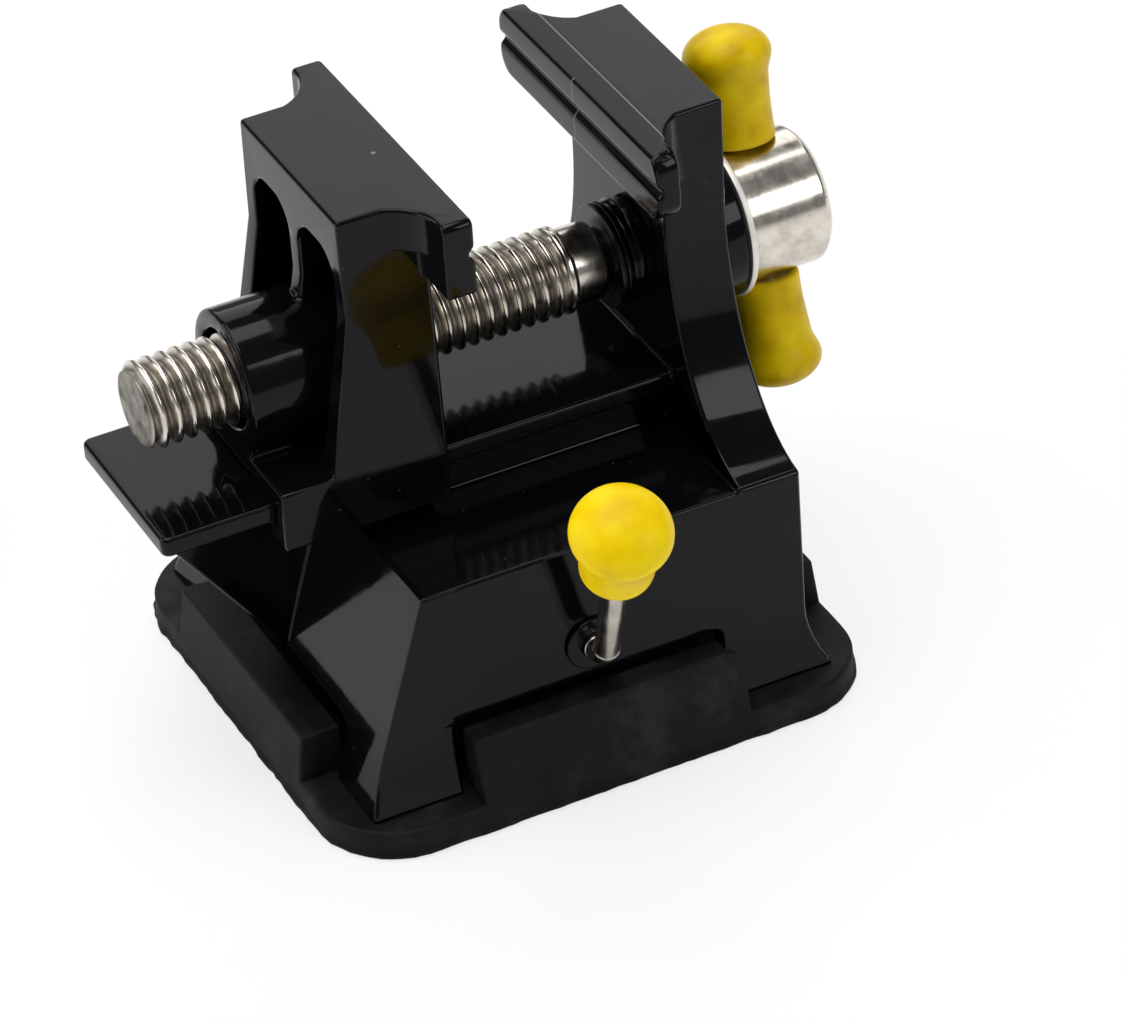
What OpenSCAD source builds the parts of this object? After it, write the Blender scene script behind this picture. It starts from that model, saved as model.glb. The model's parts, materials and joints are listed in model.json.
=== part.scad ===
/* [Suction pad] */
// Length of the rubber pad, along the screw
pad_l = 58.8; // [56.8:0.1:64]
// Width of the rubber pad, across the screw
pad_w = 56; // [54:0.5:62]
// Thickness of the pad's rim, on which the base stands
pad_t = 3; // [2.4:0.1:4]
// Corner radius of the pad's outline
pad_corner_r = 9; // [5:0.5:12]
// Thickness of each lug outside the base's wall
lug_t = 3.1; // [2.6:0.1:3.2]
// Depth of the tongue that each lug sends into its notch
lug_tongue_t = 2.2; // [1:0.1:3]
// Width of the front and back lugs
lug_side_w = 29.1; // [22:0.1:32]
// Offset of the front and back lugs away from the handle
lug_side_shift = 0.2; // [0:0.1:0.6]
// Height of the front and back lugs above the pad's rim
lug_side_h = 6.7; // [4:0.1:7]
// Lean of the front and back lugs' outer faces over their height
lug_side_lean = 2.4; // [0.5:0.1:2.5]
// Radius of the front and back lugs' upper corner towards the handle
lug_side_r = 1.8; // [0.4:0.1:3]
// Height of the end lugs above the pad's rim
lug_end_h = 5.2; // [3.5:0.1:5.6]
// Lean of the end lugs' outer faces over their height
lug_end_lean = 1.2; // [0.5:0.1:2]
// Gap between a lug's tongue and its notch on the side away from the handle
lug_gap = 1; // [0.6:0.1:2]
// Radius of the pad's flexing centre
diaphragm_r = 19.8; // [16:0.2:21]
// Thickness of the flexing centre
diaphragm_t = 1.6; // [1:0.1:2.2]
// Radius of the thick middle of the flexing centre
diaphragm_boss_r = 6.6; // [6:0.1:9]
// Height of the thick middle
diaphragm_boss_h = 3.3; // [2.6:0.1:4]

/* [Base box] */
// Height of the hollow base, from the pad to its flat top
base_h = 23.3; // [22:0.1:28]
// Reach of the flat top away from the handle
base_top_left = 17.8; // [15:0.1:20]
// Reach of the flat top towards the handle
base_top_right = 22.9; // [21.5:0.1:25]
// Reach of the sloping wall at the base's foot
base_foot_left = 25.4; // [23:0.1:26]
// Width of the base
base_w = 46.4; // [44:0.2:48]
// Thickness of the walls
wall_t = 2; // [1.4:0.1:2.4]
// Thickness of the top
top_t = 2.3; // [1.6:0.1:2.8]
// Height of the skirt where the walls splay out
skirt_h = 7; // [4:0.1:8]
// Splay of the skirt on the handle side
skirt_end = 2.2; // [1:0.1:2.6]
// Splay of the skirt at the front and back
skirt_side = 1.3; // [0.6:0.1:2]
// Width of the notches in the front and back walls
notch_front_w = 29; // [24:0.2:32]
// Offset of the notches in the front and back walls away from the handle
notch_front_shift = 1.1; // [0:0.1:1.6]
// Height of the notches in the front and back walls
notch_front_h = 7.8; // [7.2:0.1:8.4]
// Radius of the upper corners of the notches in the front and back walls
notch_front_r = 0.8; // [0.3:0.1:2]
// Width of the notches in the end walls
notch_end_w = 31; // [24:0.2:34]
// Height of the notches in the end walls
notch_end_h = 5.8; // [5:0.1:8]
// Radius of the upper corners of the notches in the end walls
notch_end_r = 2; // [0.5:0.1:3]

/* [Rail] */
// Reach of the rail from the origin, away from the handle
rail_left = 38.3; // [38:0.1:42]
// Width of the rail's plate
rail_w = 20; // [18.6:0.1:21]
// Thickness of the rail's plate
rail_t = 2.1; // [1.6:0.1:2.6]
// Height of the rail's web above the base's top
web_h = 4.3; // [3.8:0.1:6]
// Width of the rail's web
web_w = 16; // [14:0.1:17]
// Radius of the corners at the rail's free end
rail_corner_r = 0.9; // [0.3:0.1:2]
// Thickness of the gusset under the rail's free end
gusset_t = 2; // [1.4:0.1:4]
// Depth of the gusset at the rail's free end
gusset_tip_h = 1.6; // [0.6:0.1:3]
// Height above the pad at which the gusset meets the sloping wall
gusset_foot_h = 6; // [4:0.1:10]

/* [Fixed jaw] */
// Height of the jaws' tops above the base's top
jaw_rise = 35.8; // [34:0.1:40]
// Thickness of the column, along the screw
column_t = 6.7; // [5:0.1:8]
// Width of the column where its flare ends
column_w = 20.2; // [18:0.1:22]
// Width of the moving jaw's head at the bottom of its scallops
jaw_back_w = 21.3; // [20.2:0.1:23]
// Height of the flare at the column's foot
flare_h = 23.2; // [15:0.1:25]
// Sideways reach of the flare's ellipse
flare_reach = 14.4; // [8:0.1:16]
// Length of the fixed jaw's head, along the screw
fixed_head_l = 10.5; // [9.5:0.1:12]
// Height of the fixed jaw's head
fixed_head_h = 7.5; // [6.5:0.1:9]
// Thickness of the fixed jaw's gripping plate
fixed_grip_t = 2.5; // [1.8:0.1:3.4]
// Corner radius of the fixed gripping plate
fixed_grip_r = 2.2; // [0.5:0.1:3]
// Width of both gripping plates
grip_w = 34.2; // [30:0.2:38]
// Fall of the fixed jaw's top towards the gap
fixed_fall = 0.3; // [0.1:0.05:0.6]
// Length over which the fixed jaw's top falls
fixed_fall_l = 3; // [1.5:0.1:3.4]
// Radius of the scallops beside the jaws' heads
scallop_r = 5.6; // [4:0.1:6.5]
// Distance of a scallop's centre from the jaw's back
scallop_back = 2.6; // [2:0.1:4]
// Width of the level V groove in a gripping plate
level_groove_w = 1.5; // [1:0.1:2.6]
// Distance of the level V groove below the jaw's top
level_groove_drop = 3.8; // [3:0.1:4.5]

/* [Moving jaw] */
// Opening between the gripping plates, as stored
opening = 19.15; // [14:0.05:24]
// Length of the moving jaw's head, along the screw
moving_head_l = 11.3; // [10.5:0.1:12.5]
// Height of the moving jaw's head
moving_head_h = 8.3; // [7:0.1:9]
// Height of the moving jaw's block behind its gripping plate
moving_block_h = 4.7; // [3:0.1:6]
// Thickness of the moving jaw's gripping plate
moving_grip_t = 3.15; // [2.2:0.05:4]
// Corner radius of the moving gripping plate
moving_grip_r = 0.8; // [0.3:0.1:2]
// Distance from the gripping face back to the front of the jaw's body
moving_body_back = 2.25; // [1.5:0.05:3]
// Thickness of the foot's sides beside the rail
foot_side_t = 1.9; // [1.2:0.1:3]
// Width of the moving jaw's body at its top
moving_web_w = 22; // [21.8:0.1:23]
// Height of the foot's top above the rail's top
foot_rise = 2.1; // [1.6:0.1:3]
// Thickness of the foot's lips under the rail
lip_t = 2.3; // [1.6:0.1:3]
// Spread of the legs towards the foot
leg_spread = 2.95; // [0.5:0.05:4]
// Height above the foot at which the legs begin to spread
leg_spread_h = 16.2; // [10:0.1:18]
// Thickness of the outer legs
leg_t = 1.65; // [1.2:0.05:2.4]
// Thickness of the rib between the two pockets
rib_t = 2.2; // [1.4:0.1:3]
// Thickness of the jaw's wall behind the pockets
jaw_wall_t = 2.5; // [1.6:0.1:3.5]
// Radius of the pockets' upper corners
pocket_r = 3; // [1:0.1:3.6]
// Radius of the boss round the screw
jaw_boss_r = 6.95; // [6.8:0.05:7.5]
// Length of the foot and the boss beyond the jaw's back
jaw_boss_reach = 8.55; // [5:0.05:10]
// Width of the pedestal under the boss
pedestal_w = 9.4; // [7:0.1:11]
// Size of the hexagonal nut across its flats
nut_flats = 11; // [10.2:0.1:11.2]
// Length of the nut
nut_l = 9; // [6:0.1:10]

/* [Lead screw] */
// Height of the screw's axis above the base's top
screw_rise = 15.15; // [14.5:0.05:17]
// Outer diameter of the thread
thread_d = 9; // [8:0.1:9.4]
// Depth of the thread
thread_depth = 0.8; // [0.4:0.05:1]
// Pitch of the thread
pitch = 1.5; // [1:0.05:2]
// Reach of the screw's free end from the origin
screw_left = 36; // [34:0.1:40]
// Bevel at the screw's free end
screw_bevel = 0.6; // [0.3:0.05:1]
// Place of the thread's end along the screw
thread_end = 9.1; // [8:0.1:9.7]
// Length of the plain shank after the thread
shank_l = 3.9; // [2:0.1:4.4]
// Diameter of the plain shank
shank_d = 8; // [7:0.1:8.2]
// Diameter of the neck that turns in the column
neck_d = 6; // [5.4:0.1:6.4]
// Radius of the column's boss on the inner side
inner_boss_r = 5.1; // [4.4:0.1:6]
// Length of the column's boss on the inner side
inner_boss_l = 1.2; // [0.6:0.1:1.4]
// Radius of the column's boss on the handle side
outer_boss_r = 7.9; // [7:0.1:8.6]
// Length of the column's boss on the handle side
outer_boss_l = 3.5; // [2:0.1:5]
// Radius of the inner washer and the retaining ring
ring_r = 5.3; // [4.4:0.1:6]
// Thickness of the inner washer
inner_washer_t = 0.5; // [0.3:0.05:0.7]
// Thickness of the retaining ring
ring_t = 0.7; // [0.5:0.05:0.8]
// Depth of the ring's groove in the neck
ring_groove = 0.5; // [0.3:0.05:0.8]

/* [Handle] */
// Radius of the thrust washer
washer_r = 8; // [7:0.1:9]
// Thickness of the thrust washer
washer_t = 0.7; // [0.5:0.05:1.2]
// Radius of the hub
hub_r = 7; // [6:0.1:8]
// Length of the hub
hub_l = 9.1; // [8:0.1:11]
// Bevel at the hub's outer end
hub_bevel = 0.7; // [0.3:0.1:1.2]
// Length of the hub's metal beyond the screw's end
hub_end_t = 2.3; // [1:0.1:3]
// Distance from the hub's inner end to the cross bar
bar_from_washer = 3.5; // [3:0.1:5]
// Diameter of the cross bar
bar_d = 3.2; // [2.4:0.1:3.6]
// Lean of the cross bar from upright, as stored
bar_lean = 14.4; // [0:0.1:45]
// Length of a cap on the cross bar
cap_l = 11.75; // [10:0.05:14]
// Radius of a cap at its seat on the hub
cap_seat_r = 3.5; // [2.8:0.05:4]
// Radius of a cap at the top of its neck
cap_neck_r = 3.75; // [3:0.05:4.4]
// Radius of a cap at its head
cap_head_r = 4.45; // [4:0.05:5.5]
// Length of a cap's neck
cap_neck_l = 6.5; // [5:0.05:8]
// Distance from a cap's seat to the widest part of its head
cap_head_at = 9; // [8:0.05:10]
// Depth of the cross bar in a cap
cap_depth = 8.4; // [6:0.1:9]

/* [Suction lever] */
// Place of the lever's shaft along the screw
lever_x = -0.5; // [-1:0.1:1]
// Height of the lever's shaft above the pad
lever_h = 11.8; // [11.5:0.1:13]
// Diameter of the lever's rod
rod_d = 2.5; // [2:0.1:2.6]
// Radius of the bend in the rod, at its middle line
bend_r = 3; // [2:0.1:3]
// Thinning of the rod where it is bent
bend_thin = 0.02; // [0.01:0.01:0.1]
// Distance from the front wall out to the rod's corner
rod_corner = 2.9; // [2.7:0.1:4]
// Lean of the rod away from the base
rod_lean = 26.2; // [10:0.1:35]
// Lean of the rod along the screw, as stored
rod_swing = -6.7; // [-20:0.1:20]
// Distance from the rod's corner to the knob's seat
rod_rise = 18.5; // [15:0.1:24]
// Length of the lever's knob
knob_l = 10.2; // [9:0.05:13]
// Radius of the knob at its seat
knob_seat_r = 3.65; // [3:0.05:4.2]
// Radius of the knob at the top of its neck
knob_neck_r = 3.9; // [3.4:0.05:4.5]
// Radius of the knob at its head
knob_head_r = 5; // [4.6:0.05:6]
// Length of the knob's neck
knob_neck_l = 4.4; // [3:0.05:5]
// Distance from the knob's seat to the widest part of its head
knob_head_at = 6.9; // [6:0.05:8]
// Depth of the rod in the knob
knob_depth = 6.2; // [4:0.1:7]
// Radius of the bush's flange outside the front wall
bush_flange_r = 2.85; // [2.4:0.05:3.2]
// Thickness of the bush's flange
bush_flange_t = 0.5; // [0.3:0.05:0.8]
// Radius of the bush in the wall
bush_r = 2.1; // [1.8:0.05:2.3]

/* [Cam and stem] */
// Angle of the lever's swing from released to locked
swing_angle = 95; // [60:1:100]
// Offset of the cam from the lever's shaft
cam_offset = 2.1; // [1.5:0.05:2.2]
// Radius of the cam
cam_r = 4.2; // [4:0.05:4.5]
// Width of the cam
cam_w = 5; // [4.4:0.1:6]
// Diameter of the pin that holds the cam on the shaft
cam_pin_d = 1; // [0.6:0.05:1.2]
// Thickness of the yoke round the cam
yoke_t = 4; // [3:0.1:4.2]
// Half length of the yoke's window
yoke_window = 7.2; // [7:0.1:7.6]
// Thickness of the yoke's ends and top
yoke_wall = 2; // [1.4:0.1:2.2]
// Thickness of the yoke's foot
yoke_foot = 3; // [2.4:0.1:3.2]
// Diameter of the pull stem
stem_d = 4; // [3:0.1:4.6]
// Thickness of the plate bonded to the pad
plate_t = 1; // [0.6:0.1:1.3]
// Radius of the plate bonded to the pad
plate_r = 6; // [5:0.1:6.4]
// Size of the stem's nut across its flats
stem_nut_flats = 7; // [6:0.1:8]
// Thickness of the ribs inside the base
guide_t = 2.2; // [1.4:0.1:3]
// Distance of the bearing rib behind the middle of the base
bearing_rib_y = 8; // [6:0.1:12]
// Width of the bearing rib
bearing_rib_w = 8; // [6:0.1:9]
// Radius of the clip at the shaft's end
clip_r = 2.6; // [2:0.1:3]
// Thickness of the clip at the shaft's end
clip_t = 0.6; // [0.4:0.05:0.8]
// Depth of the clip's groove in the shaft
clip_groove = 0.3; // [0.2:0.05:0.5]

/* [Fits] */
// Radial clearance of a shaft that turns in its hole
running_gap = 0.06; // [0.02:0.01:0.1]
// Radial clearance of a piece that is fixed in its seat
seat_gap = 0.02; // [0.01:0.01:0.05]
// Clearance between faces that slide past each other
slide_gap = 0.12; // [0.08:0.01:0.2]
// Clearance of the lugs, the cam and the yoke
loose_gap = 0.3; // [0.2:0.05:0.4]

/* [Hidden] */

$fn = 96;
over = 1;
black = "#17181b";
rubber_black = "#1f1f20";
yellow = "#f1d010";
nickel = "#c8c2b8";
steel = "#9a9a98";

base_z = pad_t;
base_top_z = base_z + base_h;
knee_z = base_z + skirt_h;
left_slope = (base_foot_left - base_top_left) / base_h;
rail_z = base_top_z + web_h;
rail_top_z = rail_z + rail_t;
jaw_top_z = base_top_z + jaw_rise;
screw_z = base_top_z + screw_rise;
column_x = base_top_right - column_t;
fixed_face_x = base_top_right - fixed_head_l;

moving_face_x = fixed_face_x - opening;
moving_back_x = moving_face_x - moving_head_l;
moving_front_x = moving_face_x - moving_body_back;
foot_w = rail_w + 2 * (slide_gap + foot_side_t);
foot_top_z = rail_top_z + foot_rise;
foot_low_z = rail_z - slide_gap - lip_t;
foot_left_x = moving_back_x - jaw_boss_reach;

thread_r = thread_d / 2;
neck_r = neck_d / 2;
shank_end_x = thread_end + shank_l;
inner_boss_x = column_x - inner_boss_l;
inner_washer_x = inner_boss_x - slide_gap - inner_washer_t;
ring_x = inner_washer_x - ring_t;
outer_boss_x = base_top_right + outer_boss_l;
washer_x = outer_boss_x + slide_gap;
hub_x = washer_x + washer_t;
bar_x = hub_x + bar_from_washer;
screw_right_x = hub_x + hub_l - hub_end_t;

lever_z = base_z + lever_h;
front_y = -base_w / 2;
rod_r = rod_d / 2;
bend_angle = 90 - rod_lean;
bend_reach = bend_r * tan(bend_angle / 2);
bend_cut = 2 * (bend_r + rod_d);
corner_y = front_y - rod_corner;
bend_y = corner_y + bend_reach;
clip_y = bearing_rib_y + guide_t + slide_gap;
shaft_end_y = clip_y + 2 * clip_t;

cam_rest = swing_angle / 2;
cam_x = lever_x - cam_offset * cos(cam_rest);
cam_z = lever_z - cam_offset * sin(cam_rest);
window_h = 2 * (cam_r + slide_gap);
window_z = cam_z - window_h / 2;
yoke_z = window_z - yoke_foot;
yoke_half = yoke_window + yoke_wall;
plate_z = diaphragm_boss_h;
stem_z = plate_z + plate_t;
cavity_top_z = base_top_z - top_t;

// Reach of the sloping wall at height z
function wall_left(z) = -base_foot_left + left_slope * (z - base_z);

// Splay of a wall at height z
function splay(z, reach) = reach * pow(max(0, 1 - (z - base_z) / skirt_h), 2);

// Outline of a wall that splays at its foot, from the bottom up
function wall_side(half, reach, low, high) = concat(
    [for (i = [0:skirt_steps - 1])
        let (z = low + (knee_z - low) * i / skirt_steps)
        [half + splay(z, reach), z]
    ],
    [[half, knee_z], [half, high]]
);
skirt_steps = 6;

// Extrudes an outline in X and Z along Y, about the middle
module along_y(length) {
    rotate([90, 0, 0])
        linear_extrude(length, center = true)
            children();
}

// Extrudes an outline in Y and Z along X, from zero
module along_x(length) {
    rotate([90, 0, 90])
        linear_extrude(length)
            children();
}

// A rod along X about the screw's axis, from one place to another
module screw_rod(from, to, r) {
    translate([from, 0, screw_z])
        rotate([0, 90, 0])
            cylinder(h = to - from, r = r);
}

// A rectangle with its four corners rounded
module round_plate(length, width, r) {
    square([length - 2 * r, width], center = true);
    square([length, width - 2 * r], center = true);
    for (x = [-1, 1])
        for (y = [-1, 1])
            translate([x * (length / 2 - r), y * (width / 2 - r)])
                circle(r);
}

// An upright opening with rounded upper corners, standing on zero
module arch(width, height, r) {
    translate([-width / 2, -over])
        square([width, height - r + over]);
    translate([-width / 2 + r, -over])
        square([width - 2 * r, height + over]);
    for (x = [-1, 1])
        translate([x * (width / 2 - r), height - r])
            circle(r);
}

// The box of the base between two heights, drawn in by an inset
module base_box(low, high, inset) {
    left_inset = inset * sqrt(1 + left_slope * left_slope);
    right = base_top_right - inset;
    half = base_w / 2 - inset;
    side = wall_side(half, skirt_side, low, high);
    other_side = [for (i = [len(side) - 1:-1:0]) [-side[i][0], side[i][1]]];
    intersection() {
        along_y(pad_w)
            polygon(concat(
                [[wall_left(low) + left_inset, low]],
                wall_side(right, skirt_end, low, high),
                [[wall_left(high) + left_inset, high]]
            ));
        translate([-pad_l / 2, 0, 0])
            along_x(pad_l)
                polygon(concat(side, other_side));
    }
}

module rail() {
    tip_x = -rail_left + rail_corner_r;
    translate([0, 0, rail_z])
        linear_extrude(rail_t) {
            translate([tip_x, -rail_w / 2])
                square([column_x - tip_x, rail_w]);
            translate([-rail_left, -rail_w / 2 + rail_corner_r])
                square([2 * rail_corner_r, rail_w - 2 * rail_corner_r]);
            for (side = [-1, 1])
                translate([tip_x, side * (rail_w / 2 - rail_corner_r)])
                    circle(rail_corner_r);
        }
    translate([-base_top_left, -web_w / 2, base_top_z - top_t])
        cube([column_x + base_top_left, web_w, web_h + top_t + rail_t / 2]);
}

module gusset() {
    foot_z = base_z + gusset_foot_h;
    along_y(gusset_t)
        polygon([
            [-rail_left + rail_corner_r, rail_z + rail_t / 2],
            [-rail_left + rail_corner_r, rail_z - gusset_tip_h],
            [wall_left(foot_z), foot_z],
            [wall_left(foot_z) + wall_t / 2, foot_z],
            [-base_top_left + wall_t / 2, base_top_z],
            [-base_top_left + wall_t / 2, rail_z + rail_t / 2],
        ]);
}

// Half outline of the column, from its foot up
function column_side() = concat(
    [for (i = [0:flare_steps])
        let (turn = 90 * (1 - i / flare_steps))
        [
            min(base_w / 2, column_w / 2 + flare_reach * (1 - cos(turn))),
            base_top_z + flare_h * (1 - sin(turn)),
        ]
    ],
    [[jaw_back_w / 2, jaw_top_z]]
);
flare_steps = 24;

module column() {
    side = column_side();
    count = len(side);
    foot = [[base_w / 2, base_top_z - top_t / 2]];
    right = concat(foot, side);
    left = [for (i = [count:-1:0]) [-right[i][0], right[i][1]]];
    translate([column_x, 0, 0])
        along_x(column_t)
            polygon(concat(right, left));
}

// A jaw's head: the gripping face at x = 0, the back towards +X
module jaw_head(length, height, block_h, grip_t, corner_r, back_w) {
    low = jaw_top_z - height;
    block_z = jaw_top_z - block_h;
    level_z = jaw_top_z - level_groove_drop;
    difference() {
        union() {
            translate([0, 0, low + height / 2])
                along_x(grip_t)
                    round_plate(grip_w, height, corner_r);
            difference() {
                translate([grip_t / 2, -grip_w / 2 + corner_r, block_z])
                    cube([length - grip_t / 2, grip_w - 2 * corner_r, block_h]);
                for (side = [-1, 1]) {
                    translate([length - scallop_back, side * (back_w / 2 + scallop_r), block_z - over])
                        cylinder(h = block_h + 2 * over, r = scallop_r);
                    translate([
                        length - scallop_back,
                        side * (back_w + grip_w) / 2 - grip_w / 2,
                        block_z - over,
                    ])
                        cube([scallop_back + over, grip_w, block_h + 2 * over]);
                }
            }
        }
        along_y(grip_w + 2 * over)
            polygon([
                [-over, level_z - level_groove_w / 2 - over],
                [level_groove_w / 2, level_z],
                [-over, level_z + level_groove_w / 2 + over],
            ]);
    }
}

// The ribs inside the base: one bears the lever's shaft, four guide the yoke
module inner_ribs() {
    rib_low_z = lever_z - clip_r - wall_t;
    difference() {
        translate([lever_x - bearing_rib_w / 2, bearing_rib_y, rib_low_z])
            cube([bearing_rib_w, guide_t, cavity_top_z + top_t / 2 - rib_low_z]);
        translate([lever_x, bearing_rib_y + guide_t + over, lever_z])
            rotate([90, 0, 0])
                cylinder(h = guide_t + 2 * over, r = rod_r + running_gap);
    }
    for (x = [-1, 1])
        for (y = [-1, 1])
            translate([
                x * yoke_half - guide_t / 2,
                y * (yoke_t / 2 + slide_gap + guide_t / 2) - guide_t / 2,
                lever_z,
            ])
                cube([guide_t, guide_t, cavity_top_z + top_t / 2 - lever_z]);
}

// The moulding: hollow base, rail, column and fixed jaw in one piece
module base_body() {
    color(black) {
        difference() {
            union() {
                base_box(base_z, base_top_z, 0);
                rail();
                gusset();
                column();
                translate([fixed_face_x, 0, 0])
                    jaw_head(
                        fixed_head_l, fixed_head_h, fixed_head_h, fixed_grip_t, fixed_grip_r, column_w
                    );
                screw_rod(inner_boss_x, column_x + over, inner_boss_r);
                screw_rod(base_top_right - over, outer_boss_x, outer_boss_r);
            }
            base_box(base_z - over, cavity_top_z, wall_t);
            screw_rod(inner_boss_x - over, outer_boss_x + over, neck_r + running_gap);
            translate([fixed_face_x, 0, jaw_top_z])
                along_y(grip_w + 2 * over)
                    polygon([
                        [-over, -fixed_fall],
                        [0, -fixed_fall],
                        [fixed_fall_l, 0],
                        [fixed_fall_l, over],
                        [-over, over],
                    ]);
            translate([-notch_front_shift, 0, base_z])
                along_y(pad_w)
                    arch(notch_front_w, notch_front_h, notch_front_r);
            translate([-pad_l / 2, 0, base_z])
                along_x(pad_l)
                    arch(notch_end_w, notch_end_h, notch_end_r);
            translate([lever_x, 0, lever_z])
                rotate([90, 0, 0])
                    cylinder(h = base_w / 2 + over, r = bush_r + seat_gap);
        }
        inner_ribs();
    }
}

// The rubber rim on which the base stands, with a lug for each notch
module suction_pad() {
    color(rubber_black) {
        difference() {
            linear_extrude(pad_t)
                round_plate(pad_l, pad_w, pad_corner_r);
            translate([0, 0, -over])
                cylinder(h = pad_t + 2 * over, r = diaphragm_r + slide_gap);
        }
        for (back = [0, 1])
            mirror([0, back, 0])
                side_lug();
        for (away = [0, 1])
            mirror([away, 0, 0])
                end_lug();
    }
}

// Outline of a lug across its length, from the pad's edge inwards
module lug_outline(height, lean) {
    polygon([
        [0, pad_t / 2],
        [0, pad_t],
        [lean, pad_t + height],
        [lug_t, pad_t + height],
        [lug_t, pad_t / 2],
    ]);
}

// The lug at the front, outside the wall, and its tongue in the notch
module side_lug() {
    left = -lug_side_w / 2 - lug_side_shift;
    right = lug_side_w / 2 - lug_side_shift;
    tongue_left = -notch_front_w / 2 - notch_front_shift + lug_gap;
    tongue_right = notch_front_w / 2 - notch_front_shift - loose_gap;
    top = pad_t + lug_side_h;
    intersection() {
        translate([left, -pad_w / 2, 0])
            along_x(lug_side_w)
                lug_outline(lug_side_h, lug_side_lean);
        along_y(pad_w + 2 * over) {
            translate([left - over, 0])
                square([lug_side_w + over - lug_side_r, top + over]);
            translate([left - over, 0])
                square([lug_side_w + 2 * over, top - lug_side_r]);
            translate([right - lug_side_r, top - lug_side_r])
                circle(lug_side_r);
        }
    }
    translate([tongue_left, -pad_w / 2 + lug_t / 2 + lug_side_lean / 2, pad_t / 2])
        cube([
            tongue_right - tongue_left,
            lug_t / 2 - lug_side_lean / 2 + lug_tongue_t,
            pad_t / 2 + lug_side_h,
        ]);
}

// The lug at the handle's end and its tongue in the notch
module end_lug() {
    half = notch_end_w / 2 - lug_gap;
    translate([pad_l / 2, 0, 0])
        mirror([1, 0, 0]) {
            along_y(2 * half)
                lug_outline(lug_end_h, lug_end_lean);
            translate([lug_t / 2, -half, pad_t / 2])
                cube([lug_t / 2 + lug_tongue_t, 2 * half, pad_t / 2 + lug_end_h]);
        }
}

// The pad's thin centre, which the stem lifts
module suction_diaphragm() {
    color(rubber_black) {
        cylinder(h = diaphragm_t, r = diaphragm_r);
        cylinder(h = diaphragm_boss_h, r = diaphragm_boss_r);
    }
}

// The flanged bush of the lever's shaft in the front wall
module lever_bush() {
    color(black)
        difference() {
            translate([lever_x, front_y, lever_z])
                rotate([90, 0, 0]) {
                    translate([0, 0, -wall_t])
                        cylinder(h = wall_t, r = bush_r);
                    cylinder(h = bush_flange_t, r = bush_flange_r);
                }
            translate([lever_x, front_y + wall_t + over, lever_z])
                rotate([90, 0, 0])
                    cylinder(h = wall_t + bush_flange_t + 2 * over, r = rod_r + running_gap);
        }
}

// The moving jaw: head, two legs, boss and the foot that wraps the rail
module moving_jaw() {
    block_z = jaw_top_z - moving_block_h;
    half = jaw_back_w / 2;
    pocket_w = half - leg_t - rib_t / 2;
    pocket_back_x = moving_front_x - jaw_wall_t;
    deep = moving_back_x - leg_spread - over;
    color(black)
        difference() {
            union() {
                difference() {
                    union() {
                        translate([moving_face_x, 0, 0])
                            mirror([1, 0, 0])
                                jaw_head(
                                    moving_head_l, moving_head_h, moving_block_h,
                                    moving_grip_t, moving_grip_r, jaw_back_w
                                );
                        intersection() {
                            along_y(foot_w)
                                polygon([
                                    [moving_front_x, foot_low_z + lip_t],
                                    [moving_front_x, jaw_top_z],
                                    [moving_back_x, jaw_top_z],
                                    [moving_back_x, foot_top_z + leg_spread_h],
                                    [moving_back_x - leg_spread, foot_top_z],
                                    [moving_back_x - leg_spread, foot_low_z + lip_t],
                                ]);
                            translate([foot_left_x, 0, 0])
                                along_x(moving_front_x - foot_left_x)
                                    polygon([
                                        [-foot_w / 2, foot_low_z],
                                        [foot_w / 2, foot_low_z],
                                        [foot_w / 2, foot_top_z],
                                        [moving_web_w / 2, jaw_top_z],
                                        [-moving_web_w / 2, jaw_top_z],
                                        [-foot_w / 2, foot_top_z],
                                    ]);
                        }
                    }
                    for (side = [-1, 1])
                        translate([deep, side * (rib_t + pocket_w) / 2, foot_top_z])
                            along_x(pocket_back_x - deep)
                                arch(pocket_w, block_z - foot_top_z, pocket_r);
                }
                translate([foot_left_x, -foot_w / 2, foot_low_z])
                    cube([moving_front_x - foot_left_x, foot_w, foot_top_z - foot_low_z]);
                translate([foot_left_x, -pedestal_w / 2, foot_top_z - foot_rise / 2])
                    cube([pocket_back_x - foot_left_x, pedestal_w, screw_z - foot_top_z]);
                screw_rod(foot_left_x, pocket_back_x + over, jaw_boss_r);
            }
            translate([foot_left_x - over, 0, 0])
                along_x(moving_front_x - foot_left_x + 2 * over) {
                    translate([-rail_w / 2 - slide_gap, rail_z - slide_gap])
                        square([rail_w + 2 * slide_gap, rail_t + 2 * slide_gap]);
                    translate([-web_w / 2 - loose_gap, foot_low_z - over])
                        square([web_w + 2 * loose_gap, rail_z - foot_low_z + over]);
                }
            screw_rod(foot_left_x - over, moving_front_x + over, thread_r + pitch / 3);
            translate([moving_front_x - nut_recess - nut_l, 0, screw_z])
                rotate([0, 90, 0])
                    nut_form(nut_l + nut_recess + over, seat_gap);
        }
}
nut_recess = 1.5;

// The hexagonal prism of the nut, enlarged by a gap on every flat
module nut_form(length, gap) {
    cylinder(h = length, r = (nut_flats / 2 + gap) / cos(30), $fn = 6);
}

// The nut held in the jaw's boss
module jaw_nut() {
    color(nickel)
        difference() {
            translate([moving_front_x - nut_recess - nut_l, 0, screw_z])
                rotate([0, 90, 0])
                    nut_form(nut_l, 0);
            screw_rod(moving_front_x - nut_recess - nut_l - over, moving_front_x, thread_r + running_gap);
        }
}

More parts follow.
